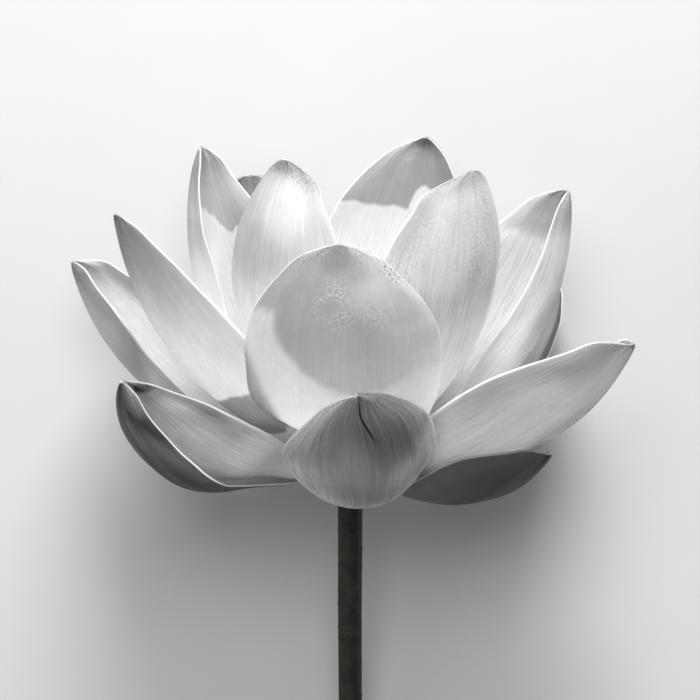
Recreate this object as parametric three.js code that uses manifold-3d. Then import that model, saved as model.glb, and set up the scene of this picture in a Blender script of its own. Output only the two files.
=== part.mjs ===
// A cut lotus flower lying on a table: open petals round a receptacle, a ring of stamens and a cut stem.
// Millimetres, +Z up, the stem towards -Y. The flower rests on its rear petals and the cut end of its stem.
//
// The bloom is built in a frame of its own: z runs along its axis from the stem to the open mouth,
// x is the same as the table's X, and y points down towards the table.
// A petal's name says where it stands when the bloom is seen from above the table, stem at the bottom.
import * as THREE from "three";
import { mergeVertices } from "three/addons/utils/BufferGeometryUtils.js";
import Module from "manifold-3d";

// ---- driving dimensions ----
const STEM_LENGTH = 150; // from the foot of the bloom to the cut
const STEM_TOP_RADIUS = 4.4;
const STEM_CUT_RADIUS = 4.0;
const STEM_SIDES = 20;
const LEAN_DEG = 17; // between the bloom's axis and the table
const GAP = 0.3; // left between two pieces that touch

const PETAL_THICK_BASE = 1.2;
const PETAL_THICK_TIP = 0.7;
const PETAL_ROWS = 12; // sections from base to tip
const PETAL_COLUMNS = 8; // strips across
const CLAW_HALF_WIDTH = 5; // a petal's half width where it is attached
const CLAW_POINT = 1.5; // from a petal's first section to the point that meets the wall

// The receptacle is turned round the bloom's axis. Its wall, which carries the petals, is a cone.
const WALL_FOOT_RADIUS = 11.2;
const WALL_TOP_RADIUS = 6.4;
const WALL_HEIGHT = 14;
const RECEPTACLE_FOOT = -2.6;
const RECEPTACLE_PROFILE = [
  [4.2, RECEPTACLE_FOOT],
  [7.4, -2.2],
  [WALL_FOOT_RADIUS, 0],
  [WALL_TOP_RADIUS, WALL_HEIGHT],
  [6.2, 19],
  [7.6, 24],
  [11.2, 31],
  [13.0, 35],
  [13.0, 36.2],
  [11.8, 37.2],
];
const RECEPTACLE_TOP = 37.6;
const RECEPTACLE_SIDES = 28;

// Seeds stand a little proud of the receptacle's flat top: [how many, distance from the axis].
const SEED_RINGS = [
  [1, 0],
  [5, 4.6],
  [10, 9.2],
];
const SEED_RADIUS = 1.5;

// Stamens rise from one collar round the receptacle's neck.
const COLLAR_INNER_RADIUS = 6.8;
const COLLAR_OUTER_RADIUS = 8.4;
const COLLAR_BOTTOM = 16.2;
const COLLAR_TOP = 17.6;
const STAMENS = 40;
const STAMEN_LENGTH = 27;
const SHORT_STAMEN = 0.86; // every other stamen is shorter by this
const STAMEN_LEAN = 7.6; // how far its top stands out past its foot
const STAMEN_SIDES = 5;
// A thin filament, and on it the thicker anther: [radius, share of the length].
const STAMEN_PROFILE = [
  [0, 0],
  [0.45, 0],
  [0.45, 0.3],
  [0.5, 0.62],
  [0.95, 0.7],
  [0.8, 0.94],
  [0, 1],
];

// seat: where the petal is attached, from 0 at the top of the receptacle's wall to 6 at its foot
// azimuth: round the bloom's axis, 0 away from the table, 90 to +x, 180 towards the table
// riseBase, riseTip: slope of the midrib at its ends, 0 square to the axis and 90 along it
// bend: above 1, more of that turn is near the tip
// length, width: along the midrib, and across the widest section round its curve
// belly: where the widest section is, as a share of the length
// heel: how broad the base is: 1 tapers straight from the widest section, 3 stays broad nearly to the claw
// point: how sharp the tip is, 0.5 blunt and 1 sharp
// cup: half the angle that a section turns through
// sway, roll: how far the midrib turns to the left, and how far it twists, from base to tip
// rests: the petal is bent up or down at its base until it just touches the table
// All angles are in degrees.
const PETALS = {
  front_inner: {
    seat: 3.2, azimuth: -3, riseBase: 10, riseTip: 108,
    length: 118, width: 73, belly: 0.66, heel: 2.4, point: 0.58, cup: 46,
  },
  front_left: {
    seat: 0.2, azimuth: -60, riseBase: 34.5, riseTip: 126,
    length: 117, width: 84, point: 0.6, cup: 50,
  },
  front_right: {
    seat: 1, azimuth: 62, riseBase: 30, riseTip: 108,
    length: 119, width: 98, point: 0.48, cup: 56,
  },
  left_back: {
    seat: 1.2, azimuth: -113, riseBase: 29, riseTip: 100,
    length: 124, width: 74, belly: 0.52, heel: 1.15, point: 0.8, cup: 66, sway: 5, roll: -4,
  },
  back_sliver: {
    seat: 2.2, azimuth: -148, riseBase: 26, riseTip: 87,
    length: 114, width: 58, point: 0.5, cup: 50,
  },
  back_inner: {
    seat: 0, azimuth: 147, riseBase: 42, riseTip: 92,
    length: 114, width: 74, cup: 58,
  },
  right_back: {
    seat: 2, azimuth: 109, riseBase: 9, riseTip: 93,
    length: 127, width: 86, belly: 0.55, point: 0.54, cup: 76,
  },
  right_hidden: {
    seat: 5.2, azimuth: 127, riseBase: -2, riseTip: 64.5,
    length: 107, width: 50, cup: 44, rests: true,
  },
  right_low: {
    seat: 4.2, azimuth: 63.5, riseBase: -5, riseTip: 64,
    length: 115, width: 91, belly: 0.48, heel: 2, cup: 68, roll: -11,
  },
  right_sepal: {
    seat: 5.3, azimuth: 60, riseBase: -30, riseTip: 56,
    length: 73, width: 58, belly: 0.55, cup: 60, roll: -14,
  },
  left_low: {
    seat: 4.2, azimuth: -57.5, riseBase: -13.5, riseTip: 80, bend: 1.25,
    length: 97, width: 74, belly: 0.45, heel: 1.7, cup: 64, roll: 14,
  },
  left_sepal: {
    seat: 5.4, azimuth: -60, riseBase: -13.5, riseTip: 99, bend: 1.6,
    length: 106, width: 48, belly: 0.55, cup: 40,
  },
  left_far: {
    seat: 3, azimuth: -104, riseBase: -1, riseTip: 72,
    length: 123, width: 78, belly: 0.56, heel: 1.5, point: 0.55, cup: 60, roll: 5,
  },
  left_front: {
    seat: 2.05, azimuth: -72, riseBase: 18, riseTip: 83,
    length: 125, width: 88, belly: 0.46, heel: 1.6, point: 0.8, cup: 62,
  },
  front_low: {
    seat: 6, azimuth: 5.5, riseBase: -20, riseTip: 95,
    length: 90, width: 60, belly: 0.64, cup: 56, sway: 18,
  },
  back_left_low: {
    seat: 5, azimuth: -158, riseBase: 4, riseTip: 60,
    length: 88, width: 34, cup: 40, rests: true,
  },
  back_right: {
    seat: 4, azimuth: 160, riseBase: 8, riseTip: 80,
    length: 94, width: 42, heel: 1.3, cup: 42, rests: true,
  },
  back_rest: {
    seat: 3, azimuth: 189, riseBase: 22, riseTip: 74,
    length: 98, width: 50, cup: 40, rests: true,
  },
};

const radians = THREE.MathUtils.degToRad;
const lerp = THREE.MathUtils.lerp;

// ---- placing the bloom on the table ----
const lean = radians(LEAN_DEG);
const bloomHeight = STEM_LENGTH * Math.sin(lean) + STEM_CUT_RADIUS * Math.cos(lean);
const bloomToTable = new THREE.Matrix4().makeRotationX(lean - Math.PI / 2).setPosition(0, 0, bloomHeight);

// ---- petals ----

// Half the width, measured round the section, at a share s of the length.
function halfWidth(p, s) {
  const belly = p.belly ?? 0.6;
  const toBase = 1 - (1 - s / belly) ** (p.heel ?? 1.6);
  const toTip = (1 - ((s - belly) / (1 - belly)) ** 2) ** (p.point ?? 0.62);
  return (p.width / 2) * (s < belly ? toBase : toTip) + CLAW_HALF_WIDTH * (1 - s) ** 4;
}

// Frames along the midrib: its point, t along it, e to its right seen from outside and n towards the axis.
function midribFrames(p, shares) {
  const height = WALL_HEIGHT * (1 - p.seat / 6);
  const wall = lerp(WALL_FOOT_RADIUS, WALL_TOP_RADIUS, height / WALL_HEIGHT);
  const azimuth = radians(p.azimuth);
  const riseBase = radians(p.riseBase);
  const slant = 0.5 * PETAL_THICK_BASE * Math.abs(Math.sin(riseBase));
  const reach = wall + GAP + CLAW_POINT * Math.cos(riseBase) + slant;
  const out = new THREE.Vector3(Math.sin(azimuth), -Math.cos(azimuth), 0);
  const e = new THREE.Vector3(Math.cos(azimuth), Math.sin(azimuth), 0);
  const t = out.clone().multiplyScalar(Math.cos(riseBase)).setZ(Math.sin(riseBase));
  const n = t.clone().cross(e);
  const point = out.clone().multiplyScalar(reach).setZ(height);
  const bend = p.bend ?? 1;
  const steps = 8; // small turns between two sections
  const frames = [];
  let from = 0;
  for (const s of shares) {
    const ds = (s - from) / steps;
    for (let i = 0; i < steps && ds > 0; i++) {
      const mid = from + ds * (i + 0.5);
      const rise = radians(p.riseTip - p.riseBase) * bend * mid ** (bend - 1) * ds;
      const sway = radians(p.sway ?? 0) * 2 * mid * ds;
      const roll = radians(p.roll ?? 0) * 2 * (1 - mid) * ds;
      point.addScaledVector(t, (ds * p.length) / 2);
      t.applyAxisAngle(e, -rise);
      n.applyAxisAngle(e, -rise);
      t.applyAxisAngle(n, -sway);
      e.applyAxisAngle(n, -sway);
      e.applyAxisAngle(t, roll);
      n.applyAxisAngle(t, roll);
      point.addScaledVector(t, (ds * p.length) / 2);
    }
    from = s;
    frames.push({ s, point: point.clone(), t: t.clone(), e: e.clone(), n: n.clone() });
  }
  return frames;
}

// A petal is a stack of sections, each a thin arc, drawn together into a point at both ends.
function petalGeometry(p) {
  const shares = [];
  for (let i = 0; i <= PETAL_ROWS; i++) shares.push(1 - (1 - i / PETAL_ROWS) ** 1.6);
  const frames = midribFrames(p, shares);
  const tip = frames.pop();
  const across = [];
  for (let j = 0; j <= PETAL_COLUMNS; j++) across.push((2 * j) / PETAL_COLUMNS - 1);

  const points = [frames[0].point.clone().addScaledVector(frames[0].t, -CLAW_POINT)];
  for (const { s, point, e, n } of frames) {
    const cup = radians(p.cup) * lerp(0.6, 1, Math.sin((s * Math.PI) / 2));
    const radius = halfWidth(p, s) / cup;
    const half = lerp(PETAL_THICK_BASE, PETAL_THICK_TIP, s) / 2;
    const addArc = (arcRadius, order) => {
      for (const v of order) {
        const along = arcRadius * Math.sin(cup * v);
        const inward = radius - arcRadius * Math.cos(cup * v);
        points.push(point.clone().addScaledVector(e, along).addScaledVector(n, inward));
      }
    };
    addArc(radius - half, across);
    addArc(radius + half, across.toReversed());
  }
  points.push(tip.point);

  const ring = 2 * (PETAL_COLUMNS + 1);
  const at = (row, k) => 1 + row * ring + (k % ring);
  const last = PETAL_ROWS - 1;
  const index = [];
  for (let k = 0; k < ring; k++) {
    index.push(0, at(0, k), at(0, k + 1));
    for (let row = 0; row < last; row++) {
      index.push(at(row, k), at(row + 1, k + 1), at(row, k + 1));
      index.push(at(row, k), at(row + 1, k), at(row + 1, k + 1));
    }
    index.push(at(last, k + 1), at(last, k), points.length - 1);
  }
  return new THREE.BufferGeometry().setFromPoints(points).setIndex(index);
}

function lowestPoint(geometry) {
  const placed = geometry.clone().applyMatrix4(bloomToTable);
  placed.computeBoundingBox();
  return placed.boundingBox.min.z;
}

// The petal turned at its base, by halving the range of angles, until its lowest point meets the table.
function restingPetalGeometry(p) {
  let low = -20;
  let high = 20;
  for (let i = 0; i < 24; i++) {
    const turn = (low + high) / 2;
    const turned = { ...p, riseBase: p.riseBase + turn, riseTip: p.riseTip + turn };
    if (lowestPoint(petalGeometry(turned)) < 0) low = turn;
    else high = turn;
  }
  return petalGeometry({ ...p, riseBase: p.riseBase + high, riseTip: p.riseTip + high });
}

// ---- receptacle and stamens ----
const wasm = await Module();
wasm.setup();

// A closed three.js geometry as a solid that can be joined to others.
function solidOf(geometry) {
  geometry.deleteAttribute("normal");
  geometry.deleteAttribute("uv");
  const { index, attributes } = mergeVertices(geometry);
  const triVerts = [];
  for (let i = 0; i < index.count; i += 3) {
    const [a, b, c] = [index.getX(i), index.getX(i + 1), index.getX(i + 2)];
    if (a !== b && b !== c && c !== a) triVerts.push(a, b, c);
  }
  const vertProperties = new Float32Array(attributes.position.array);
  const mesh = new wasm.Mesh({ numProp: 3, vertProperties, triVerts: new Uint32Array(triVerts) });
  return new wasm.Manifold(mesh);
}

// Several closed geometries joined into one.
function joined(geometries) {
  const mesh = geometries.map(solidOf).reduce((whole, solid) => whole.add(solid)).getMesh();
  const geometry = new THREE.BufferGeometry();
  geometry.setAttribute("position", new THREE.BufferAttribute(new Float32Array(mesh.vertProperties), 3));
  return geometry.setIndex(new THREE.BufferAttribute(new Uint32Array(mesh.triVerts), 1));
}

// A profile of [radius, height] points turned round the bloom's axis.
function turned(profile, sides) {
  const points = profile.map(([radius, height]) => new THREE.Vector2(radius, height));
  return new THREE.LatheGeometry(points, sides).rotateX(Math.PI / 2);
}

function receptacleGeometry() {
  const profile = [[0, RECEPTACLE_FOOT], ...RECEPTACLE_PROFILE, [0, RECEPTACLE_TOP]];
  const pieces = [turned(profile, RECEPTACLE_SIDES)];
  for (const [count, distance] of SEED_RINGS) {
    for (let i = 0; i < count; i++) {
      const angle = (i * 2 * Math.PI) / count;
      const seed = new THREE.SphereGeometry(SEED_RADIUS, 8, 6);
      pieces.push(seed.translate(distance * Math.cos(angle), distance * Math.sin(angle), RECEPTACLE_TOP));
    }
  }
  return joined(pieces);
}

// A stamen is turned round a line that leans out over the petals' bases and ends upright.
function stamenGeometry(i) {
  const length = STAMEN_LENGTH * (i % 2 ? SHORT_STAMEN : 1);
  const profile = STAMEN_PROFILE.map(([radius, share]) => [radius, share * length]);
  const stamen = turned(profile, STAMEN_SIDES);
  const position = stamen.getAttribute("position");
  for (let k = 0; k < position.count; k++) {
    const share = position.getZ(k) / length;
    position.setX(k, position.getX(k) + STAMEN_LEAN * Math.sin((share * Math.PI) / 2));
  }
  stamen.translate((COLLAR_INNER_RADIUS + COLLAR_OUTER_RADIUS) / 2, 0, (COLLAR_BOTTOM + COLLAR_TOP) / 2);
  return stamen.rotateZ((i * 2 * Math.PI) / STAMENS);
}

function stamensGeometry() {
  const collar = [
    [COLLAR_INNER_RADIUS, COLLAR_BOTTOM],
    [COLLAR_OUTER_RADIUS, COLLAR_BOTTOM],
    [COLLAR_OUTER_RADIUS, COLLAR_TOP],
    [COLLAR_INNER_RADIUS, COLLAR_TOP],
    [COLLAR_INNER_RADIUS, COLLAR_BOTTOM],
  ];
  const pieces = [turned(collar, RECEPTACLE_SIDES)];
  for (let i = 0; i < STAMENS; i++) pieces.push(stamenGeometry(i));
  return joined(pieces);
}

// ---- the flower ----
const bloom = new THREE.Group();
bloom.name = "bloom";
bloom.applyMatrix4(bloomToTable);

function add(name, geometry, color, roughness) {
  const material = new THREE.MeshStandardMaterial({ color, roughness, metalness: 0 });
  const mesh = new THREE.Mesh(geometry, material);
  mesh.name = name;
  bloom.add(mesh);
}

for (const [place, p] of Object.entries(PETALS)) {
  const geometry = p.rests ? restingPetalGeometry(p) : petalGeometry(p);
  add("petal_" + place, geometry, 0xf0efec, 0.55);
}
add("receptacle", receptacleGeometry(), 0xc9c66a, 0.6);
add("stamens", stamensGeometry(), 0xe8d79a, 0.6);

const stemHeight = STEM_LENGTH + RECEPTACLE_FOOT - GAP;
const stemGeometry = new THREE.CylinderGeometry(STEM_TOP_RADIUS, STEM_CUT_RADIUS, stemHeight, STEM_SIDES);
stemGeometry.rotateX(Math.PI / 2);
stemGeometry.translate(0, 0, stemHeight / 2 - STEM_LENGTH);
add("stem", stemGeometry, 0x2a3024, 0.7);

// The part's origin is on the table, under the middle of the whole flower.
const flower = new THREE.Group();
flower.add(bloom);
flower.updateMatrixWorld(true);
const box = new THREE.Box3().setFromObject(flower, true);
bloom.position.x -= (box.min.x + box.max.x) / 2;
bloom.position.y -= (box.min.y + box.max.y) / 2;
bloom.position.z -= box.min.z;
export default flower;
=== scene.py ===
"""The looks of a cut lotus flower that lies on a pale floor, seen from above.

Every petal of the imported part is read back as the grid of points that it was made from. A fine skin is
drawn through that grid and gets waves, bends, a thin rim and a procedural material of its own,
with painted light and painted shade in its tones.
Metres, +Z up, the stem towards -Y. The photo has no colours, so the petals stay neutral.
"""

import math

import bpy
import numpy as np
from mathutils import Matrix, Vector


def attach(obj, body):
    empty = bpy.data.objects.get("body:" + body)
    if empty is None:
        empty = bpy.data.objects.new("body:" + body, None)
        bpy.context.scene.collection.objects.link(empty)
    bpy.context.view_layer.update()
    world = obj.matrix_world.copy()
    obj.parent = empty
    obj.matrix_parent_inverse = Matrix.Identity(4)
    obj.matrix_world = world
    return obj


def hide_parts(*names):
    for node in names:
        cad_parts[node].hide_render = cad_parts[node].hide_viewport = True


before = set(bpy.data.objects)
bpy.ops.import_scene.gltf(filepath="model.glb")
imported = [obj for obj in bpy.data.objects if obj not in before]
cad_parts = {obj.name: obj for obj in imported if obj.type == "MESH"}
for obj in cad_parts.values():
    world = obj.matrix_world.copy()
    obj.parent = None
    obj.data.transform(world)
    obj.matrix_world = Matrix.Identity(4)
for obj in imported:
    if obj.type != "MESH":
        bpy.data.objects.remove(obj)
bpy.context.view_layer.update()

MM = 0.001
TAU = 2 * math.pi

# ---- the bloom's own frame, from the stem ----
# Up the bloom's axis is `axis`; `lift` is square to it, away from the floor; `side` is the row's X.


def node_points(name):
    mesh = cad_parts[name].data
    found = np.empty(len(mesh.vertices) * 3, np.float32)
    mesh.vertices.foreach_get("co", found)
    return found.reshape(-1, 3).astype(float)


def stem_line():
    """The middle of the stem's cut end, and the middle of its top."""
    points = node_points("stem")
    middle = points.mean(0)
    along = np.linalg.svd(points - middle, full_matrices=False)[2][0]
    along *= math.copysign(1, along[1])
    reach = (points - middle) @ along
    cut = points[reach < reach.min() + 0.5 * MM].mean(0)
    top = points[reach > reach.max() - 0.5 * MM].mean(0)
    return cut, top


stem_cut, stem_top = stem_line()
axis = (stem_top - stem_cut) / np.linalg.norm(stem_top - stem_cut)
side = np.array([1.0, 0.0, 0.0])
lift = np.cross(side, axis)
FOOT_BELOW = 2.9 * MM  # from the middle of the bloom's foot down to the stem's top
foot = stem_top + axis * FOOT_BELOW


def in_bloom(points):
    """Points given as (x, towards the floor, up the axis), in the row frame."""
    points = np.asarray(points, float)
    return foot + points[..., :1] * side - points[..., 1:2] * lift + points[..., 2:3] * axis


# ---- small tools ----


def smooth(value, low, high):
    """0 at low, 1 at high and a smooth step between them. low may be above high."""
    t = np.clip((value - low) / (high - low), 0, 1)
    return t * t * (3 - 2 * t)


def unit(vectors):
    return vectors / np.maximum(np.linalg.norm(vectors, axis=-1, keepdims=True), 1e-12)


def spline(values, places):
    """The natural cubic spline through values at 0, 1, 2 and so on, read at the places."""
    count = len(values)
    matrix = np.eye(count)
    bends = np.zeros_like(values)
    for i in range(1, count - 1):
        matrix[i, i - 1 : i + 2] = (1, 4, 1)
        bends[i] = 6 * (values[i + 1] - 2 * values[i] + values[i - 1])
    curve = np.linalg.solve(matrix, bends.reshape(count, -1)).reshape(values.shape)
    low = np.clip(places.astype(int), 0, count - 2)
    f = (places - low).reshape(-1, *[1] * (values.ndim - 1))
    flat = values[low] * (1 - f) + values[low + 1] * f
    return flat + (((1 - f) ** 3 - (1 - f)) * curve[low] + (f**3 - f) * curve[low + 1]) / 6


def make_piece(name, points, faces, corners=None, **values):
    """A mesh object, with named values at its points and, where corners are given, a surface map."""
    mesh = bpy.data.meshes.new(name)
    mesh.from_pydata(points.tolist(), [], faces)
    for key, numbers in values.items():
        layer = mesh.attributes.new(key, "FLOAT", "POINT")
        layer.data.foreach_set("value", np.asarray(numbers, np.float32))
    if corners is not None:
        layer = mesh.uv_layers.new(name="OFBake")
        layer.data.foreach_set("uv", np.asarray(corners, np.float32).ravel())
    mesh.shade_smooth()
    piece = bpy.data.objects.new(name, mesh)
    bpy.context.scene.collection.objects.link(piece)
    return piece


def tube(rings, start, end):
    """Faces and surface map of a closed body made of rings of points, with a point at each end.
    The rings' points come first, ring by ring, then the start point and the end point."""
    rows, ring = rings
    faces, corners = [], []
    for i in range(rows - 1):
        low, high = i / (rows - 1), (i + 1) / (rows - 1)
        for k in range(ring):
            a, b = i * ring + k, i * ring + (k + 1) % ring
            faces.append((a, b, b + ring, a + ring))
            left, right = k / ring, (k + 1) / ring
            corners += [(left, low), (right, low), (right, high), (left, high)]
    last = (rows - 1) * ring
    for k in range(ring):
        after = (k + 1) % ring
        faces.append((start, after, k))
        corners += [((k + 0.5) / ring, 0), ((k + 1) / ring, 0), (k / ring, 0)]
        faces.append((end, last + k, last + after))
        corners += [((k + 0.5) / ring, 1), (k / ring, 1), ((k + 1) / ring, 1)]
    return faces, corners


# ---- reading a petal back from its CAD solid ----
FACE_POINTS = 9  # points across each face of a CAD section


def welded(mesh):
    """The mesh's separate points, and its triangles as numbers of those points."""
    co = np.empty(len(mesh.vertices) * 3, np.float32)
    mesh.vertices.foreach_get("co", co)
    rounded = np.round(co.reshape(-1, 3).astype(float), 6)
    points, numbers = np.unique(rounded, axis=0, return_inverse=True)
    mesh.calc_loop_triangles()
    corners = np.empty(len(mesh.loop_triangles) * 3, np.int32)
    mesh.loop_triangles.foreach_get("vertices", corners)
    return points, numbers.ravel()[corners].reshape(-1, 3).tolist()


def petal_sections(mesh):
    """The petal's middle surface [section, across], its thickness there, and its two end points."""
    points, faces = welded(mesh)
    links = [set() for _ in points]
    for face in faces:
        for k in range(3):
            links[face[k]].update((face[k - 1], face[k - 2]))
    ends = [i for i, near in enumerate(links) if len(near) == 2 * FACE_POINTS]
    base, tip = sorted(ends, key=lambda i: np.linalg.norm(points[i] - foot))

    after = {}
    for face in faces:
        if base in face:
            k = face.index(base)
            after[face[k - 2]] = face[k - 1]
    ring = [min(after)]
    while len(ring) < len(after):
        ring.append(after[ring[-1]])
    rings = [ring]
    below = {base}
    while tip not in links[ring[0]]:
        below.update(ring)
        beyond = [links[i] - below for i in ring]
        below_next = [beyond[k] & beyond[k - 1] for k in range(len(ring))]
        ring = [next(iter(found)) for found in below_next]
        rings.append(ring)

    # The two narrow edges of a section are its rims. The ring's first half starts after one of them.
    grid = points[np.array(rings)]
    edges = np.linalg.norm(np.roll(grid, -1, 1) - grid, axis=-1).mean(0)
    first = int(np.argmin(edges + np.roll(edges, -FACE_POINTS))) + 1
    grid = np.roll(grid, -first, 1)
    one, other = grid[:, :FACE_POINTS], grid[:, : FACE_POINTS - 1 : -1]
    middle = len(grid) // 2
    rims = (one[middle, 0] + one[middle, -1]) / 2
    centre = FACE_POINTS // 2
    if np.linalg.norm(one[middle, centre] - rims) > np.linalg.norm(other[middle, centre] - rims):
        one, other = other[:, ::-1], one[:, ::-1]
    return (one + other) / 2, one - other, points[base], points[tip]


# ---- petal skins ----
BODY_ROWS = 72
TIP_ROWS = 14
TIP_AIM_ROWS = TIP_ROWS + 6  # the rows of the middle line that give the tip its direction
TIP_RUN, TIP_ROUND = 1.6, 0.86  # powers: how the closing rows crowd to the tip, and how round it is
COLUMNS = 60
RIM_MM = 0.22  # half the thickness of a petal at its rim
RIM_SLOPE = 0.1  # how fast that half grows with the distance from the rim
BASE_THICK_MM = 1.05  # a petal at its base
THINS_BY_MM = 0.5  # from the base to the body of a petal
ON_FLOOR = 0.02 * MM  # the lowest that any point may be

# How far a skin moves off the CAD's middle surface, in millimetres, beside each petal's own bends.
WAVE_MM = 0.35  # at the rims
WAVES = ((1.7, 1.0), (3.6, 0.6), (7.3, 0.3))  # waves along a rim, and their share of WAVE_MM
DENT_MM = 0.4
PLEAT_MM = 0.06
TIP_BLUNT = 0.3  # how much wider the very tip is
TIP_BLUNT_REACH = 0.05
PLAIN_NUB = (0.8, 0.0, 2.2)  # the point of the tip: its length in mm, its lean, and its spread in mm


def rounded_tip(section, tip, rows):
    """Rows of points that close the last section into a round tip."""
    middle = section[len(section) // 2]
    left = np.linspace(1, 0, rows + 1)[1:, None, None]
    return tip + left**TIP_RUN * (middle - tip) + left**TIP_ROUND * (section - middle)


def petal_surface(node):
    """A petal's fine middle surface [row, column], its inward directions and the petal's two ends."""
    sections, through, base, tip = petal_sections(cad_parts[node].data)
    last = len(sections) - 1
    ended = np.concatenate([sections, np.broadcast_to(tip, (1, *sections.shape[1:]))])
    rows = np.linspace(0, last, BODY_ROWS)
    columns = np.linspace(0, FACE_POINTS - 1, COLUMNS)
    surface = spline(spline(ended, rows).transpose(1, 0, 2), columns).transpose(1, 0, 2)
    surface = np.concatenate([surface, rounded_tip(surface[-1], tip, TIP_ROWS)[:-1]])
    inward = unit(spline(spline(through, rows).transpose(1, 0, 2), columns).transpose(1, 0, 2))
    inward = np.concatenate([inward, np.repeat(inward[-1:], TIP_ROWS - 1, 0)])
    return surface, inward, base, tip


def bell(value, middle, width):
    return np.exp(-(((value - middle) / width) ** 2))


def shaped(along, across, shape):
    """How far each point of a petal moves inwards, in millimetres."""
    seed = shape["seed"]
    moved = np.zeros_like(along)
    for k, (waves, size) in enumerate(WAVES):
        for direction in (-1, 1):
            rim = np.clip(direction * across, 0, 1) ** 3
            turn = seed * (1.3 + k) + direction * (2 + k)
            moved += WAVE_MM * size * rim * np.sin(TAU * waves * along + turn)
    slanting = np.sin(TAU * (1.3 * along + 0.9 * across) + 2.1 * seed)
    moved += DENT_MM * (slanting * np.cos(TAU * 1.2 * across + seed))
    drift = 1.5 * np.sin(TAU * 0.8 * along + seed)
    pleats = np.sin(TAU * 6.5 * across + drift + seed) + 0.5 * np.sin(TAU * 15 * across + 2 * drift)
    strong = 0.35 + 0.65 * np.sin(TAU * (0.7 * across + 0.5 * along) + 3 * seed) ** 2
    moved += PLEAT_MM * pleats * strong
    moved *= smooth(along, 0.2, 0.6)
    for at_across, at_along, wide, long, height in shape.get("bumps", ()):
        moved += height * bell(across, at_across, wide) * bell(along, at_along, long)
    for crease in shape.get("creases", ()):
        line = crease["across"] + crease["slant"] * (1 - along)
        run = smooth(along, *crease["along"])
        moved += crease["depth"] * bell(across, line, crease["width"]) * run
    return moved * MM


def pulled(surface, along, across, shape):
    """The surface with a blunter tip, and drawn sideways and towards the tip in some places."""
    rib = surface[:, COLUMNS // 2][:, None]
    blunt = shape.get("blunt", TIP_BLUNT) * bell(1 - along, 0, TIP_BLUNT_REACH)
    surface = rib + (surface - rib) * (1 + blunt)[..., None]
    sideways = unit(surface[:, -1] - surface[:, 0])[:, None]
    onwards = unit(np.gradient(rib[:, 0], axis=0))[:, None]
    for at_across, at_along, wide, long, to_side, to_tip in shape.get("pulls", ()):
        share = bell(across, at_across, wide) * bell(along, at_along, long)
        surface = surface + share[..., None] * (to_side * sideways + to_tip * onwards) * MM
    return surface


def drawn_out(surface, tip, onward, nub):
    """The surface and its tip, with what is near the tip drawn out along onward and to one side."""
    length, lean, spread = nub
    sideways = unit(surface[BODY_ROWS - 1, -1] - surface[BODY_ROWS - 1, 0])
    leaning = unit(onward + lean * sideways)
    near = np.exp(-np.linalg.norm(surface - tip, axis=-1) / (spread * MM))
    return surface + (length * MM * near)[..., None] * leaning, tip + length * MM * leaning


def rim_distance(surface):
    """How far each point is from the petal's outline, in millimetres."""
    outline = np.concatenate([surface[:, 0], surface[:, -1], surface[-1]])
    apart = surface[:, :, None] - outline[None, None]
    return np.sqrt(np.einsum("ijkl,ijkl->ijk", apart, apart).min(-1)) / MM


def petal_mesh(name, node, shape):
    """A petal's skin as a closed body, with the values that its material reads."""
    surface, inward, base, tip = petal_surface(node)
    rib = surface[:, COLUMNS // 2]
    lengths = np.concatenate([[0], np.cumsum(np.linalg.norm(np.diff(rib, axis=0), axis=1))])
    along = np.repeat((lengths / lengths[-1])[:, None], COLUMNS, 1)
    across = np.repeat(np.linspace(-1, 1, COLUMNS)[None], len(surface), 0)
    last_row = surface[-1].mean(0)
    surface = surface + shaped(along, across, shape)[..., None] * inward
    surface = pulled(surface, along, across, shape)
    tip = tip + surface[-1].mean(0) - last_row
    onward = unit(tip - rib[-TIP_AIM_ROWS])
    surface, tip = drawn_out(surface, tip, onward, shape.get("nub", PLAIN_NUB))

    edge = rim_distance(surface)
    thick = (BASE_THICK_MM - THINS_BY_MM * smooth(along, 0, 0.3)) * MM
    half = np.minimum(thick / 2, (RIM_MM + RIM_SLOPE * edge) * MM)
    surface[..., 2] = np.maximum(surface[..., 2], half + ON_FLOOR)
    inner = surface + half[..., None] * inward
    outer = surface - half[..., None] * inward
    right = surface[:, -1] + half[:, -1:] * unit(surface[:, -1] - surface[:, -2])
    left = surface[:, 0] + half[:, :1] * unit(surface[:, 0] - surface[:, 1])

    def ringed(one, at_right, other, at_left):
        return np.concatenate([one, at_right[:, None], other[:, ::-1], at_left[:, None]], 1)

    points = ringed(outer, right, inner, left)
    rows, ring = points.shape[:2]
    points = np.concatenate([points.reshape(-1, 3), [base, tip]])
    points[:, 2] = np.maximum(points[:, 2], ON_FLOOR)
    faces, corners = tube((rows, ring), rows * ring, rows * ring + 1)

    def over_points(values, at_ends):
        return np.concatenate([ringed(values, values[:, -1], values, values[:, 0]).ravel(), at_ends])

    rims = np.full(rows, 0.5)
    inside = ringed(np.zeros_like(along), rims, np.ones_like(along), rims)
    return make_piece(
        name,
        points,
        faces,
        corners,
        along=over_points(along, (0, 1)),
        across=over_points(across, (0, 0)),
        edge=over_points(edge, (0, 0)),
        inside=np.concatenate([inside.ravel(), (0.5, 0.5)]),
    )


# ---- materials ----


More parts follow.
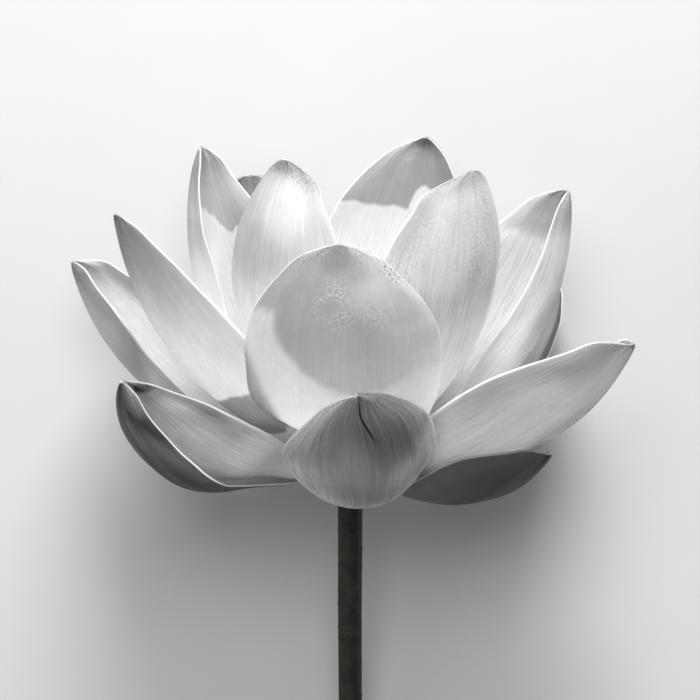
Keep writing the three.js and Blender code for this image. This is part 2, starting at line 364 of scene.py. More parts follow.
class Graph:
    """Adds shader nodes to a new material. A value is a number or another node's output."""

    def __init__(self, name):
        self.material = bpy.data.materials.new(name)
        self.material.use_nodes = True
        self.tree = self.material.node_tree
        self.shader = self.tree.nodes["Principled BSDF"]

    def add(self, kind, settings=None, **values):
        node = self.tree.nodes.new(kind)
        for key, value in (settings or {}).items():
            setattr(node, key, value)
        for key, value in values.items():
            self.put(node.inputs[key.replace("_", " ")], value)
        return node

    def put(self, socket, value):
        if isinstance(value, bpy.types.NodeSocket):
            self.tree.links.new(value, socket)
        else:
            socket.default_value = value

    def attribute(self, name):
        return self.add("ShaderNodeAttribute", {"attribute_name": name}).outputs["Fac"]

    def math(self, operation, *values):
        node = self.add("ShaderNodeMath", {"operation": operation})
        for socket, value in zip(node.inputs, values):
            self.put(socket, value)
        return node.outputs[0]

    def step(self, value, low, high):
        """0 at low and 1 at high, smooth between them. low may be above high."""
        node = self.add("ShaderNodeMapRange", {"interpolation_type": "SMOOTHSTEP"})
        flip = low > high
        numbers = (value, high, low, 1, 0) if flip else (value, low, high, 0, 1)
        for socket, number in zip(node.inputs, numbers):
            self.put(socket, number)
        return node.outputs[0]

    def mix(self, one, other, share):
        node = self.add("ShaderNodeMix", {"data_type": "FLOAT"})
        self.put(node.inputs["Factor"], share)
        self.put(node.inputs[2], one)
        self.put(node.inputs[3], other)
        return node.outputs[0]

    def colour(self, one, other, share):
        node = self.add("ShaderNodeMix", {"data_type": "RGBA"})
        self.put(node.inputs["Factor"], share)
        self.put(node.inputs["A"], one)
        self.put(node.inputs["B"], other)
        return node.outputs["Result"]

    def vector(self, x, y, z):
        return self.add("ShaderNodeCombineXYZ", X=x, Y=y, Z=z).outputs[0]

    def noise(self, vector, scale, detail=2.0, roughness=0.5):
        values = {"Vector": vector, "Scale": scale, "Detail": detail, "Roughness": roughness}
        return self.add("ShaderNodeTexNoise", **values).outputs["Fac"]

    def place(self):
        return self.add("ShaderNodeTexCoord").outputs["Object"]

    def bump(self, height, strength, distance):
        bump = self.add("ShaderNodeBump", Strength=strength, Distance=distance, Height=height)
        self.put(self.shader.inputs["Normal"], bump.outputs["Normal"])

    def set(self, **values):
        for key, value in values.items():
            self.put(self.shader.inputs[key.replace("_", " ")], value)


# Tones are from 0, black, to 1, white, roughly as they look in the light, so painted light and painted
# shade are part of them.
TONE_POWER = 1.6  # light that comes through a petal brightens it, so its own tone is deeper
THREAD_SHARE = 1.6  # how strong the fine lines are beside the broad ones
MOTTLE = 0.25
STREAKS = 0.25
SPECKS = 0.3
SPECK_LIMITS = (0.46, 0.62)  # the grain's noise where specks start and where they are full
PALE_DOT_LIMITS = (0.52, 0.6)
DARK_DOT_LIMITS = (0.47, 0.37)
# Painted light along each petal's rim: how wide it is, its tone and how strongly it shows.
RIM_LIGHT_WIDE_MM = 0.62
RIM_LIGHT_TONE = 0.95
RIM_LIGHT_SHARE = 0.85
BUMP_STRENGTH = 0.4
RIDGE_HEIGHT = 0.0006


def petal_material(name, look):
    g = Graph(name)
    along, across = g.attribute("along"), g.attribute("across")
    inside, edge = g.attribute("inside"), g.attribute("edge")
    seed = look["seed"]

    def stretched(times_across, times_along, offset, *detail):
        """Noise that varies so many times across the petal and along it."""
        x, y = g.math("MULTIPLY", across, times_across), g.math("MULTIPLY", along, times_along)
        return g.noise(g.vector(x, y, offset), 1.0, *detail)

    # Streaks and fine lines run from base to tip; wander bends every boundary a little.
    streaks = stretched(22, 2.2, seed, 3.0, 0.6)
    fine = stretched(75, 7, seed + 7, 2.0)
    wander = g.math("SUBTRACT", stretched(3, 4, seed + 3, 3.0), 0.5)
    mottle = g.math("SUBTRACT", g.noise(g.place(), 150, 3.0, 0.6), 0.5)
    grain = g.noise(g.place(), 1200, 3.0)
    patchy = g.step(g.noise(g.place(), 110, 2.0), 0.3, 0.5)

    def within(spot):
        """1 inside the spot's ellipse and 0 outside, softly."""
        from_along = g.math("SUBTRACT", along, spot["along"])
        skewed = g.math("SUBTRACT", across, g.math("MULTIPLY", from_along, spot["lean"]))
        x = g.math("DIVIDE", g.math("SUBTRACT", skewed, spot["across"]), spot["wide"])
        y = g.math("DIVIDE", from_along, spot["long"])
        far = g.math("SQRT", g.math("ADD", g.math("MULTIPLY", x, x), g.math("MULTIPLY", y, y)))
        far = g.math("ADD", far, g.math("MULTIPLY", wander, spot["wander"]))
        return g.step(far, 1 + spot["soft"], 1 - spot["soft"])

    def face_tone(face):
        reach = g.math("ADD", along, g.math("MULTIPLY", wander, face["wander"]))
        reach = g.math("ADD", reach, g.math("MULTIPLY", across, face["tilt"]))
        tone = g.mix(face["base"], face["tip"], g.step(reach, *face["from"]))
        for spot in face["spots"]:
            tone = g.mix(tone, spot["tone"], within(spot))
        return tone

    tone = g.mix(face_tone(look["outer"]), face_tone(look["inner"]), inside)
    strength = look.get("streaks", STREAKS)
    vein = g.math("MULTIPLY", g.math("SUBTRACT", streaks, 0.5), strength)
    thread = g.math("MULTIPLY", g.math("SUBTRACT", fine, 0.5), THREAD_SHARE * strength)
    lines = g.math("ADD", vein, g.math("MULTIPLY", thread, patchy))
    lines = g.math("MULTIPLY", lines, g.step(along, 1.0, 0.93))
    lines = g.math("MULTIPLY", lines, g.step(along, 0.1, 0.5))
    lines = g.math("ADD", lines, g.math("MULTIPLY", mottle, MOTTLE))
    tone = g.math("MULTIPLY", tone, g.math("ADD", 1.0, lines))

    # Grey specks gather towards the tip. Where a look has dots, the grain shows there, pale or dark.
    specks = g.math("MULTIPLY", g.step(grain, *SPECK_LIMITS), g.step(along, 0.9, 1.0))
    specks = g.math("MULTIPLY", specks, look.get("specks", SPECKS))
    tone = g.math("MULTIPLY", tone, g.math("SUBTRACT", 1.0, specks))
    for spot in look.get("dots", ()):
        limits = PALE_DOT_LIMITS if spot["tone"] > 0.5 else DARK_DOT_LIMITS
        shown = g.math("MULTIPLY", g.step(grain, *limits), g.math("MULTIPLY", patchy, within(spot)))
        tone = g.mix(tone, spot["tone"], shown)

    tone = g.math("POWER", tone, TONE_POWER)

    # Painted light: the thin rim is painted pale, where the light comes through it.
    rim = g.math("MULTIPLY", g.step(edge, RIM_LIGHT_WIDE_MM, 0.3 * RIM_LIGHT_WIDE_MM), RIM_LIGHT_SHARE)
    tone = g.mix(tone, RIM_LIGHT_TONE, rim)

    g.set(Base_Color=tone, Roughness=0.5, Specular_IOR_Level=0.35)
    g.set(Subsurface_Weight=0.8, Subsurface_Radius=(1.0, 1.0, 1.0), Subsurface_Scale=0.008)
    ridges = g.math("ADD", g.math("MULTIPLY", streaks, 0.8), g.math("MULTIPLY", fine, 0.5))
    g.bump(ridges, BUMP_STRENGTH, RIDGE_HEIGHT)
    return g.material


def face(base, tip, low, high, *spots, wander=0.1, tilt=0):
    """A petal's face: its tones at the base and the tip, and where along it the change runs.
    The paler base is partly the petal's own tone and partly painted light, the glow from inside the
    bloom.
    wander is how far that change strays, and tilt how far it moves towards the base at across 1."""
    return {
        "base": base,
        "tip": tip,
        "from": (low, high),
        "spots": spots,
        "wander": wander,
        "tilt": tilt,
    }


def spot(across, along, wide, long, tone, soft=0.5, lean=0.0, wander=0.4):
    """A soft ellipse of another tone. across runs from -1 to 1 between the rims, along from 0 to 1.
    lean moves its middle across as it goes on towards the tip, and wander makes its edge uneven.
    Many spots are painted shadow and painted light; others are the petal's own marks."""
    return {
        "across": across,
        "along": along,
        "wide": wide,
        "long": long,
        "tone": tone,
        "soft": soft,
        "lean": lean,
        "wander": wander,
    }


# Inner faces: pale towards the base, with painted shade over the tip part, which ends at a sharp edge.
PALE_INSIDE_PAINTED_SHADE = face(0.85, 0.42, 0.74, 0.84)
PLAIN_OUTSIDE = face(0.75, 0.45, 0.4, 0.95)

# What each petal looks like.
# shape: how its skin bends. Places and widths are shares of the petal, moves are in millimetres.
#   bumps: across, along, wide, long, move inwards
#   pulls: across, along, wide, long, move towards the rim at across 1, move towards the tip
# look: the tones of each face, with their spots and dots. Many of the spots are painted shadow and
# painted light.
PETALS = {
    "front_inner": {
        "shape": {"blunt": 0.25, "pulls": ((-1.0, 0.22, 0.7, 0.1, 18.0, 7.0),)},
        "look": {
            "outer": face(
                0.92,
                0.42,
                0.76,
                0.815,
                # Painted shadow: the grey shield that the petals behind cast through this one.
                spot(0.10, 0.78, 0.78, 0.235, 0.38, 0.1, -0.8, 0.3),
                # Painted light: the right side is paler, where more light comes through.
                spot(0.98, 0.70, 0.5, 0.3, 0.86, 0.7),
                # Painted light: a paler band with a slanting edge, in the shade near the tip.
                spot(0.52, 0.83, 0.42, 0.075, 0.62, 0.3, -1.0),
                spot(-0.05, 0.965, 0.25, 0.045, 0.22, 0.6),
                # Painted light: the lower left flank is painted paler, against the shade that its turn
                # gives it.
                spot(-0.95, 0.52, 0.3, 0.2, 0.97, 0.7),
                # More painted shadow inside that shield.
                spot(0.0, 0.7, 0.3, 0.14, 0.35, 0.9),
            ),
            "inner": PALE_INSIDE_PAINTED_SHADE,
            "dots": (
                spot(-0.04, 0.84, 0.2, 0.06, 0.66, 0.8),
                spot(0.22, 0.79, 0.25, 0.04, 0.30, 0.8),
                spot(-0.85, 0.93, 0.2, 0.05, 0.3, 0.7, 2.0),
                spot(0.85, 0.93, 0.2, 0.05, 0.3, 0.7, -2.0),
            ),
            "streaks": 0.13,
        },
    },
    "front_left": {
        "shape": {"blunt": 0.5, "nub": (0.0, 0.0, 2.2)},
        "look": {
            "outer": face(
                0.84,
                0.56,
                0.48,
                0.70,
                spot(-0.5, 0.84, 0.32, 0.22, 0.48, 0.3, -1.8),
                spot(0.08, 0.73, 0.3, 0.08, 0.45, 0.6),
                spot(0.4, 0.87, 0.28, 0.1, 0.80, 0.7),
                spot(0.1, 1.0, 0.9, 0.045, 0.24, 0.6),
            ),
            "inner": PALE_INSIDE_PAINTED_SHADE,
            "specks": 0.5,
        },
    },
    "front_right": {
        "shape": {"blunt": 0.3},
        "look": {
            "outer": face(
                0.50,
                0.73,
                0.60,
                0.72,
                spot(0.0, 0.68, 0.28, 0.09, 0.42, 0.6),
                spot(-0.95, 0.88, 0.22, 0.12, 0.42, 0.6),
                spot(0.08, 0.84, 0.12, 0.14, 0.62, 0.6),
                spot(0.5, 0.62, 0.22, 0.22, 0.97, 0.6),
                spot(-0.3, 1.0, 1.0, 0.045, 0.42, 0.6),
            ),
            "inner": PALE_INSIDE_PAINTED_SHADE,
            "dots": (spot(-0.95, 0.85, 0.22, 0.15, 0.4, 0.7), spot(0.0, 0.85, 0.6, 0.14, 0.84, 0.8)),
            "streaks": 0.5,
            "specks": 0.35,
        },
    },
    "left_back": {
        "shape": {
            "blunt": 0.5,
            "nub": (0.4, -1.0, 2.0),
            "bumps": ((1.0, 0.58, 0.35, 0.2, 4.5),),
            "pulls": ((0.0, 1.0, 3.0, 0.05, -1.0, -0.8),),
        },
        "look": {
            "outer": face(0.97, 0.5, 0.6, 0.82, spot(0.8, 1.0, 0.6, 0.12, 0.28, 0.7)),
            # Painted shade over the tip part, ending at an uneven sharp edge.
            "inner": face(
                1.0,
                0.46,
                0.815,
                0.835,
                spot(-0.4, 1.0, 1.0, 0.1, 0.2, 0.8),
                wander=0.3,
                tilt=-0.14,
            ),
        },
    },
    "back_sliver": {
        "shape": {"blunt": 1.0, "nub": (0.0, 0.0, 2.2)},
        "look": {"outer": face(0.6, 0.2, 0.7, 0.95), "inner": face(0.85, 0.15, 0.80, 0.92)},
    },
    "back_inner": {
        "shape": {"blunt": 0.1},
        "look": {
            "outer": PLAIN_OUTSIDE,
            # Painted shade over the tip part, ending at a sharp edge; the first spot is a painted spike
            # of light into it.
            "inner": face(
                0.90,
                0.28,
                0.765,
                0.785,
                spot(0.03, 0.765, 0.19, 0.085, 0.88, 0.1, 0.0, 0.8),
                spot(0.42, 0.94, 0.14, 0.022, 0.36, 0.4),
                spot(0.1, 1.0, 0.8, 0.045, 0.08, 0.7),
                wander=0.05,
            ),
        },
    },
    "right_back": {
        "shape": {
            "blunt": 0.15,
            "nub": (0.0, 0.0, 2.2),
            "bumps": ((-1.0, 0.42, 0.4, 0.2, 5.5),),
        },
        "look": {
            "outer": face(
                0.60,
                0.72,
                0.5,
                0.65,
                spot(-0.8, 0.97, 0.9, 0.09, 0.40, 0.6),
                spot(-0.42, 0.6, 0.25, 0.17, 0.25, 0.5),
            ),
            # Painted shade over the tip part, ending at a sharp edge.
            "inner": face(
                0.97,
                0.33,
                0.835,
                0.87,
                spot(0.5, 0.78, 0.9, 0.06, 0.84, 0.8),
                spot(0.3, 1.0, 0.9, 0.06, 0.10, 0.8),
                tilt=0.03,
            ),
            "streaks": 0.6,
        },
    },
    "right_hidden": {
        "shape": {},
        "look": {
            "outer": PLAIN_OUTSIDE,
            "inner": face(0.5, 0.3, 0.6, 0.95, spot(-0.78, 0.8, 0.26, 0.3, 0.13, 0.4)),
        },
    },
    "right_low": {
        "shape": {"blunt": 0.4, "bumps": ((-1.0, 0.86, 0.5, 0.13, -5.0), (1.0, 0.88, 0.5, 0.14, 2.0))},
        "look": {
            "outer": face(
                0.52,
                0.35,
                0.3,
                0.45,
                spot(0.1, 0.7, 0.65, 0.7, 0.12, 0.9),
                spot(-0.1, 0.93, 0.4, 0.12, 0.16, 0.8),
            ),
            "inner": PALE_INSIDE_PAINTED_SHADE,
            "streaks": 0.6,
        },
    },
    "right_sepal": {
        "shape": {},
        "look": {
            # The outer face is dark: partly the sepal's own green, partly painted shade.
            "outer": face(0.34, 0.24, 0.3, 0.9, spot(0.2, 0.6, 0.75, 0.8, 0.08, 0.7)),
            "inner": face(0.4, 0.3, 0.3, 0.8),
        },
    },
    "left_low": {
        "shape": {
            "blunt": 0.15,
            "bumps": ((0.3, 0.28, 0.8, 0.14, 4.0),),
            "pulls": ((1.0, 0.82, 0.5, 0.09, 2.2, 0.0),),
        },
        "look": {
            "outer": face(
                0.97,
                0.56,
                0.44,
                0.62,
                spot(0.6, 0.80, 0.18, 0.16, 0.70, 0.8),
                spot(0.28, 0.68, 0.22, 0.11, 0.46, 0.8),
                spot(0.85, 0.97, 0.45, 0.08, 0.22, 0.7),
                spot(0.62, 0.965, 0.3, 0.02, 0.04, 0.5),
                spot(0.95, 0.8, 0.12, 0.12, 0.28, 0.6),
            ),
            "inner": PALE_INSIDE_PAINTED_SHADE,
            "streaks": 0.5,
        },
    },
    "left_sepal": {
        "shape": {
            "blunt": 0.15,
            "bumps": ((0.3, 0.28, 1.2, 0.2, 4.0), (0.3, 0.72, 1.2, 0.16, 2.0)),
            "pulls": ((1.0, 0.3, 1.0, 0.22, -6.5, 0.0), (1.0, 0.9, 0.5, 0.07, -2.6, 0.0)),
        },
        "look": {
            # The outer face is dark: partly the sepal's own green, partly painted shade.
            "outer": face(0.06, 0.075, 0.2, 0.95, spot(0.8, 0.97, 0.5, 0.06, 0.35, 0.6)),
            "inner": face(0.5, 0.35, 0.3, 0.8),
        },
    },
    "left_far": {
        "shape": {"pulls": ((0.0, 1.0, 3.0, 0.05, 0.0, -1.0),)},
        "look": {
            "outer": face(
                0.78,
                0.34,
                0.45,
                0.60,
                spot(0.45, 0.65, 0.3, 0.1, 0.19, 0.7),
                spot(0.7, 1.0, 0.6, 0.08, 0.22, 0.7),
                tilt=-0.05,
            ),
            "inner": face(0.70, 0.25, 0.82, 1.0, spot(-0.97, 0.85, 0.2, 0.2, 0.22, 0.5)),
        },
    },
    "left_front": {
        "shape": {"nub": (0.3, 0.0, 2.2), "pulls": ((0.0, 1.0, 3.0, 0.05, 0.0, -0.8),)},
        "look": {
            "outer": face(
                0.60,
                0.15,
                0.50,
                0.96,
                spot(0.02, 0.95, 0.28, 0.12, 0.12, 0.8),
                # Painted shadow: a dark wedge near the base, in the shade under the petals beside it.
                spot(0.56, 0.29, 0.75, 0.095, 0.11, 0.1, 0.0, 0.8),
                tilt=-0.08,
            ),
            "inner": PALE_INSIDE_PAINTED_SHADE,
        },
    },
    "front_low": {
        "shape": {
            "blunt": 0.3,
            "pulls": (
                (0.0, 1.0, 0.9, 0.06, 2.8, -0.8),
                (0.85, 0.84, 0.35, 0.12, 2.6, 3.8),
                (0.9, 0.45, 0.35, 0.16, -2.6, 0.0),
                (-0.9, 0.72, 0.3, 0.15, -1.5, -1.5),
            ),
            "creases": (
                {"across": 0.06, "slant": 0.9, "width": 0.03, "depth": 0.6, "along": (0.78, 0.84)},
            ),
        },
        "look": {
            "outer": face(
                0.97,
                0.72,
                0.42,
                0.6,
                # Painted shade: most of this face is painted dark, as it faces away from the light, and
                # the next spot is painted shade beside the crease.
                spot(0.10, 0.74, 0.75, 0.36, 0.18, 0.7),
                spot(0.34, 0.80, 0.26, 0.20, 0.15, 0.2, -0.9),
                spot(0.58, 0.60, 0.22, 0.08, 0.32, 0.5),
                spot(0.65, 0.95, 0.5, 0.09, 0.30, 0.7),
                # Painted shade: a dark line in the crease near the tip.
                spot(0.15, 0.90, 0.018, 0.10, 0.01, 0.3, -0.9, 0.0),
            ),
            "inner": face(0.6, 0.4, 0.6, 0.9),
            "streaks": 1.0,
        },
    },
    "back_left_low": {"shape": {}, "look": {"outer": PLAIN_OUTSIDE, "inner": PALE_INSIDE_PAINTED_SHADE}},
    "back_right": {"shape": {}, "look": {"outer": PLAIN_OUTSIDE, "inner": PALE_INSIDE_PAINTED_SHADE}},
    "back_rest": {"shape": {}, "look": {"outer": PLAIN_OUTSIDE, "inner": PALE_INSIDE_PAINTED_SHADE}},
}


def add_petals():
    for number, (place, petal) in enumerate(PETALS.items()):
        seed = 1.7 * (number + 1)
        node = "petal_" + place
        piece = petal_mesh(place + "_petal", node, {"seed": seed, **petal["shape"]})
        piece.data.materials.append(petal_material(place, {"seed": seed, **petal["look"]}))
        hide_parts(node)
        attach(piece, "root")


# ---- stem, receptacle and stamens ----


def turned(radii, heights, turns):
    """Points [row, turn] round the bloom's axis, from radii and heights up the axis in millimetres.
    With heights that go down, tube() makes faces that look outwards."""
    x = radii * np.cos(turns)
    y = -radii * np.sin(turns)
    return in_bloom(np.stack([x, y, heights], -1) * MM)


def flesh(name, tones, scale, roughness, bump):
    """A surface mottled between two colours at the given scale, for the pieces that aren't petals."""
    g = Graph(name)
    mottle = g.noise(g.place(), scale, 4.0, 0.6)
    tone = g.colour(*tones, g.step(mottle, 0.35, 0.65))
    g.set(Base_Color=tone, Roughness=roughness, Specular_IOR_Level=0.35)
    g.bump(mottle, BUMP_STRENGTH, bump)
    return g, tone


# The cut end shows the stem's air channels: x and y from its middle, and radius, in millimetres.
AIR_CHANNELS = (
    (-1.35, 0.35, 0.8),
    (1.35, 0.35, 0.8),
    (0.0, -1.75, 0.65),
    (0.0, 1.9, 0.5),
    (-1.9, -1.6, 0.4),
    (1.9, -1.6, 0.4),
    (-1.6, 2.1, 0.32),
    (1.6, 2.1, 0.32),
)
CHANNEL_DEPTH = 2.2
STEM_TOP_RADIUS = 4.4
STEM_TAPER = 0.4  # how much less its radius is at the cut
PRICKLES = 260
PRICKLE_HEIGHTS = (0.12, 0.3)


def add_stem():
    rows, cap_rows, ring = 300, 26, 72
    top = -FOOT_BELOW / MM
    bottom = top - np.linalg.norm(stem_top - stem_cut) / MM
    turns = np.linspace(0, TAU, ring, endpoint=False)[None]
    heights = np.linspace(top, bottom, rows)[:, None] + 0 * turns
    share = (top - heights) / (top - bottom)
    radii = STEM_TOP_RADIUS - STEM_TAPER * share
    radii += 0.05 * np.sin(9 * turns + 2 * share) + 0.06 * np.sin(TAU * 2.3 * share + turns)
    middle_radius = STEM_TOP_RADIUS - STEM_TAPER / 2
    random = np.random.default_rng(11)
    for _ in range(PRICKLES):
        at_turn, at_height = random.uniform(0, TAU), random.uniform(bottom + 3, top - 3)
        apart = np.angle(np.exp(1j * (turns - at_turn))) * middle_radius
        near = (apart / 0.34) ** 2 + ((heights - at_height) / 0.4) ** 2
        radii += random.uniform(*PRICKLE_HEIGHTS) * np.exp(-near)
    body = turned(radii, heights, turns)

    # The cap at the cut: rings that shrink towards the middle, pressed in where the channels are.
    left = np.linspace(0.985, 0.03, cap_rows)[:, None]
    cap_radii = left * radii[-1:]
    x, y = cap_radii * np.cos(turns), cap_radii * np.sin(turns)
    depth = 0.1 * smooth(left, 0.9, 1.0) * np.ones_like(x)
    hollow = np.zeros_like(x)
    for at_x, at_y, radius in AIR_CHANNELS:
        hollow = np.maximum(hollow, smooth(radius - np.hypot(x - at_x, y - at_y), -0.09, 0.09))
    cap = turned(cap_radii, bottom + depth + CHANNEL_DEPTH * hollow, turns)

    grid = np.concatenate([body, cap])
    ends = in_bloom([(0, 0, top * MM), (0, 0, bottom * MM)])
    points = np.concatenate([grid.reshape(-1, 3), ends])
    points[:, 2] = np.maximum(points[:, 2], ON_FLOOR)
    faces, corners = tube(grid.shape[:2], grid.shape[0] * ring, grid.shape[0] * ring + 1)
    cut = np.concatenate([np.zeros(body.shape[:2]), np.ones(cap.shape[:2])])
    deep = np.concatenate([np.zeros(body.shape[:2]), hollow])
    piece = make_piece(
        "stalk",
        points,
        faces,
        corners,
        cut=np.concatenate([cut.ravel(), (0, 1)]),
        deep=np.concatenate([deep.ravel(), (0, 0)]),
    )
    # The skin is near black: the stem's own dark green, deepened with painted shade.
    g, skin = flesh("stalk", ((0.010, 0.012, 0.009, 1), (0.022, 0.026, 0.018, 1)), 260, 0.55, 0.0003)
    # Painted shade: the pith turns near black down in the air channels.
    pith = g.colour((0.16, 0.18, 0.12, 1), (0.01, 0.012, 0.008, 1), g.attribute("deep"))
    g.set(Base_Color=g.colour(skin, pith, g.attribute("cut")))
    piece.data.materials.append(g.material)
    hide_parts("stem")
    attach(piece, "root")


# Seeds in the receptacle's top: how many, and how far from the axis, in millimetres.
SEED_RINGS = ((1, 0.0), (5, 4.6), (10, 9.2))
SEED_RADIUS = 1.45
SEED_HEIGHT = 2.3
PIT_DEPTH = 1.3
RECEPTACLE_TOP = 37.4
RECEPTACLE_WALL = (  # radius and height, from the top down
    (12.6, 37.2),
    (13.1, 36.2),
    (12.9, 34.8),
    (11.2, 31),
    (7.7, 24),
    (6.2, 19),
    (6.4, 14),
    (11.0, 0),
    (7.4, -2.2),
    (4.2, -2.55),
)


def add_receptacle():
    ring, top_rows, wall_rows = 120, 44, 90
    turns = np.linspace(0, TAU, ring, endpoint=False)[None]
    radii = np.linspace(0.28, 12.2, top_rows)[:, None] + 0 * turns
    x, y = radii * np.cos(turns), radii * np.sin(turns)
    heights = RECEPTACLE_TOP + 0.12 * np.sin(3 * turns + 1) * radii / 12
    seed_share, tip_share = np.zeros_like(x), np.zeros_like(x)
    for count, distance in SEED_RINGS:
        for i in range(count):
            turn = i * TAU / count
            apart = np.hypot(x - distance * math.cos(turn), y - distance * math.sin(turn))
            heights += 0.35 * bell(apart, 2.35, 0.35) - PIT_DEPTH * smooth(apart, 2.3, 1.7)
            heights += SEED_HEIGHT * np.sqrt(np.clip(1 - (apart / SEED_RADIUS) ** 2, 0, 1))
            seed_share = np.maximum(seed_share, smooth(apart, 1.7, 1.4))
            tip_share = np.maximum(tip_share, smooth(apart, 0.6, 0.4))
    profile = np.array(RECEPTACLE_WALL)
    places = np.linspace(0, len(profile) - 1, wall_rows)
    wall = np.stack([np.interp(places, range(len(profile)), profile[:, k]) for k in (0, 1)], -1)
    for _ in range(6):
        wall[1:-1] = (wall[:-2] + wall[1:-1] + wall[2:]) / 3
    ribs = 0.16 * np.abs(np.sin(11 * turns)) * smooth(wall[:, 1:], 20, 30) * smooth(wall[:, 1:], 37, 34)
    wall_grid = turned(wall[:, :1] - ribs, wall[:, 1:] + 0 * turns, turns)
    grid = np.concatenate([turned(radii, heights, turns), wall_grid])
    middle = RECEPTACLE_TOP + SEED_HEIGHT - PIT_DEPTH
    ends = in_bloom([(0, 0, middle * MM), (0, 0, wall[-1, 1] * MM)])
    points = np.concatenate([grid.reshape(-1, 3), ends])
    faces, corners = tube(grid.shape[:2], len(points) - 2, len(points) - 1)
    bare = np.zeros((wall_rows, ring))
    piece = make_piece(
        "seed_head",
        points,
        faces,
        corners,
        seed=np.concatenate([seed_share.ravel(), bare.ravel(), (1, 0)]),
        stigma=np.concatenate([tip_share.ravel(), bare.ravel(), (1, 0)]),
    )
    g, skin = flesh("seed_head", ((0.42, 0.43, 0.16, 1), (0.58, 0.57, 0.26, 1)), 420, 0.5, 0.0003)
    seeds = g.colour(skin, (0.30, 0.36, 0.14, 1), g.attribute("seed"))
    g.set(Base_Color=g.colour(seeds, (0.30, 0.22, 0.08, 1), g.attribute("stigma")))
    g.set(Subsurface_Weight=0.2, Subsurface_Radius=(1.0, 1.0, 0.6), Subsurface_Scale=0.002)
    piece.data.materials.append(g.material)
    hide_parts("receptacle")
    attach(piece, "root")


# A stamen from foot to tip: share of its length, radius in millimetres, and how much it is anther.
STAMEN_PROFILE = (
    (0.0, 0.32, 0.0),
    (0.2, 0.24, 0.0),
    (0.4, 0.22, 0.0),
    (0.52, 0.24, 0.0),
    (0.56, 0.5, 1.0),
    (0.62, 0.62, 1.0),
    (0.72, 0.64, 1.0),
    (0.82, 0.58, 1.0),
    (0.87, 0.38, 1.0),
    (0.89, 0.2, 0.0),
    (0.94, 0.36, 0.0),
    (0.98, 0.34, 0.0),
    (1.0, 0.16, 0.0),
)
STAMENS = 168
STAMEN_SIDES = 6
STAMEN_LENGTHS = (21, 27)
STAMEN_LEANS = (4.5, 7.5)  # how far out a stamen of the innermost whorl leans
WHORLS = 3
GOLDEN_TURN = 0.381966  # from each stamen to the next, as a share of a turn
COLLAR_RADIUS = 7.6
COLLAR_HEIGHT = 16.9
COLLAR_SIDES = 48
COLLAR_ROUND = 12
CELL_MARGIN = 0.02  # round each body's cell of the surface map, as a share of the cell


def stamen(number, random):
    """The points of one stamen, ring by ring, then its two ends. Z is up the bloom's axis, in mm."""
    shares, thick, anther = np.array(STAMEN_PROFILE).T
    whorl = number % WHORLS
    turn = number * TAU * GOLDEN_TURN + random.normal(0, 0.03)
    length = random.uniform(*STAMEN_LENGTHS) * (1 - 0.05 * whorl)
    lean = random.uniform(*STAMEN_LEANS) + 3.2 * whorl
    start = COLLAR_RADIUS - 0.5 + 0.5 * whorl
    out = start + lean * np.sin(shares * math.pi / 2) * (1 - 0.15 * shares**2)
    up = COLLAR_HEIGHT + length * shares * (1 - 0.1 * whorl * shares)
    swing = random.normal(0, 0.05) * shares**2 * 3
    line = np.stack([out * np.cos(turn + swing), out * np.sin(turn + swing), up], -1)
    outwards = np.array([math.cos(turn), math.sin(turn), 0.0])
    around = np.array([-math.sin(turn), math.cos(turn), 0.0])
    flat = 0.78 + 0.22 * (1 - anther)
    spin = np.linspace(0, TAU, STAMEN_SIDES, endpoint=False)
    ring = thick[:, None, None] * (
        np.cos(spin)[None, :, None] * around - (flat[:, None] * np.sin(spin))[..., None] * outwards
    )
    return [*(line[:, None] + ring).reshape(-1, 3), line[0], line[-1]]


def collar():
    """The points, faces and surface map of the ring that the stamens stand on."""
    points, faces, corners = [], [], []
    for i in range(COLLAR_SIDES):
        turn = i * TAU / COLLAR_SIDES
        for k in range(COLLAR_ROUND):
            tilt = k * TAU / COLLAR_ROUND
            radius = COLLAR_RADIUS + 0.78 * math.cos(tilt)
            height = COLLAR_HEIGHT + 0.68 * math.sin(tilt)
            points.append((radius * math.cos(turn), radius * math.sin(turn), height))
            quad = ((i, k), (i + 1, k), (i + 1, k + 1), (i, k + 1))
            faces.append([a % COLLAR_SIDES * COLLAR_ROUND + b % COLLAR_ROUND for a, b in quad])
            corners += [(a / COLLAR_SIDES, b / COLLAR_ROUND) for a, b in quad]
    return points, faces, corners


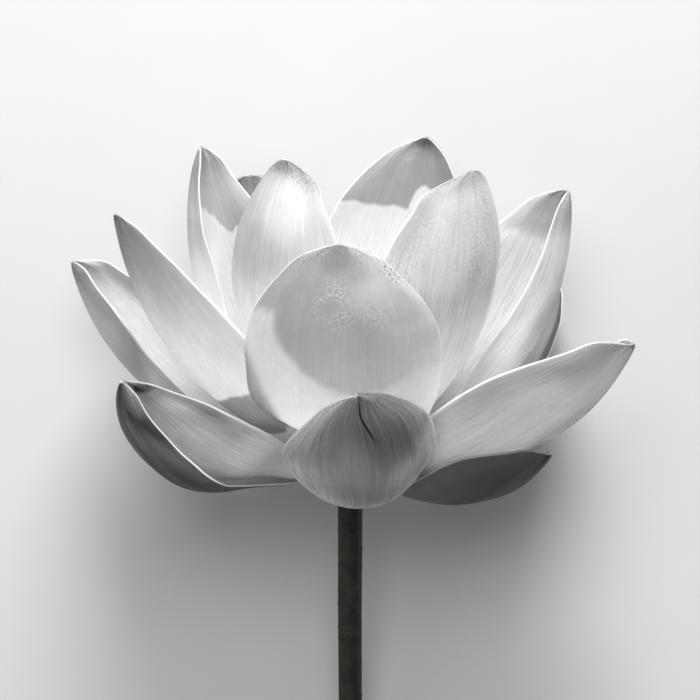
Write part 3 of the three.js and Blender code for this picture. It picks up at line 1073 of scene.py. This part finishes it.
def add_stamens():
    rows = len(STAMEN_PROFILE)
    last = rows * STAMEN_SIDES
    skin = tube((rows, STAMEN_SIDES), last, last + 1)
    anther = [*np.repeat([share for _, _, share in STAMEN_PROFILE], STAMEN_SIDES), 0, 0]
    random = np.random.default_rng(5)
    bodies = [(stamen(number, random), *skin, anther) for number in range(STAMENS)]
    ring, ring_faces, ring_corners = collar()
    bodies.append((ring, ring_faces, ring_corners, [0] * len(ring)))

    points, faces, corners, pollen = [], [], [], []
    cells = math.ceil(math.sqrt(len(bodies)))
    for number, (body_points, body_faces, body_corners, body_pollen) in enumerate(bodies):
        cell = np.array([number % cells, number // cells]) + CELL_MARGIN
        inner_share = 1 - 2 * CELL_MARGIN
        faces += [tuple(len(points) + k for k in numbers) for numbers in body_faces]
        corners += [tuple((cell + inner_share * np.array(uv)) / cells) for uv in body_corners]
        points += body_points
        pollen += body_pollen
    placed = in_bloom(np.array(points) * MM)
    piece = make_piece("stamen_ring", placed, faces, corners, pollen=pollen)
    g, thread = flesh("stamen_ring", ((0.70, 0.66, 0.50, 1), (0.80, 0.77, 0.62, 1)), 300, 0.5, 0.0002)
    g.set(Base_Color=g.colour(thread, (0.70, 0.50, 0.14, 1), g.attribute("pollen")))
    g.set(Subsurface_Weight=0.2, Subsurface_Radius=(1.0, 1.0, 0.6), Subsurface_Scale=0.001)
    piece.data.materials.append(g.material)
    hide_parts("stamens")
    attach(piece, "root")


# ---- stage ----


def aim(thing, place, target):
    """Turns a camera or an area lamp, which look along their -Z, from place to target."""
    direction = Vector(target) - Vector(place)
    thing.location = place
    thing.rotation_euler = direction.to_track_quat("-Z", "Y").to_euler()


CAMERA_ELEVATION = 12  # degrees above the plane that the petals spread in
CAMERA_DISTANCE = 1.3
CAMERA_AIM = 46.4 * MM  # up the bloom's axis
CAMERA_LENS = 188.3
CAMERA_SENSOR = 36


def add_camera():
    elevation = math.radians(CAMERA_ELEVATION)
    target = in_bloom((0, 0, CAMERA_AIM))
    back = math.cos(elevation) * lift + math.sin(elevation) * axis
    up = np.cross(back, side)
    camera = bpy.data.cameras.new("camera")
    camera.lens = CAMERA_LENS
    camera.sensor_width = CAMERA_SENSOR
    view = bpy.data.objects.new("camera", camera)
    bpy.context.scene.collection.objects.link(view)
    turn = Matrix([(side[i], up[i], back[i]) for i in range(3)]).to_4x4()
    view.matrix_world = Matrix.Translation(Vector(target + CAMERA_DISTANCE * back)) @ turn
    bpy.context.scene.camera = view


def add_lamp(name, place, target, size, power):
    lamp = bpy.data.lights.new(name, "AREA")
    lamp.shape = "DISK"
    lamp.size = size
    lamp.energy = power
    thing = bpy.data.objects.new(name, lamp)
    aim(thing, place, target)
    bpy.context.scene.collection.objects.link(thing)


LAMPS = (  # name, place, size and power
    ("behind", (0.0, 1.3, 0.55), 0.6, 30),
    ("above", (-0.1, 0.5, 1.6), 1.0, 12),
    ("side", (-1.1, -0.5, 0.9), 0.8, 2),
)
LAMP_AIM = 50 * MM  # up the bloom's axis
FLOOR_REACH = 3.0
FLOOR_TONE = 0.62
WORLD_LIGHT = 0.22


def add_stage():
    corners = [(x * FLOOR_REACH, y * FLOOR_REACH, 0) for x, y in ((-1, -1), (1, -1), (1, 1), (-1, 1))]
    floor = make_piece("floor", np.array(corners), [(0, 1, 2, 3)])
    g = Graph("floor")
    grain = g.noise(g.place(), 40, 3.0)
    g.set(Base_Color=g.math("ADD", FLOOR_TONE, g.math("MULTIPLY", grain, 0.02)), Roughness=0.9)
    floor.data.materials.append(g.material)
    world = bpy.data.worlds.new("studio")
    world.use_nodes = True
    background = world.node_tree.nodes["Background"]
    background.inputs["Color"].default_value = (1, 1, 1, 1)
    background.inputs["Strength"].default_value = WORLD_LIGHT
    bpy.context.scene.world = world
    target = in_bloom((0, 0, LAMP_AIM))
    for name, place, size, power in LAMPS:
        add_lamp(name, place, target, size, power)
    bpy.context.scene.view_settings.view_transform = "Standard"


add_petals()
add_stem()
add_receptacle()
add_stamens()
add_camera()
add_stage()
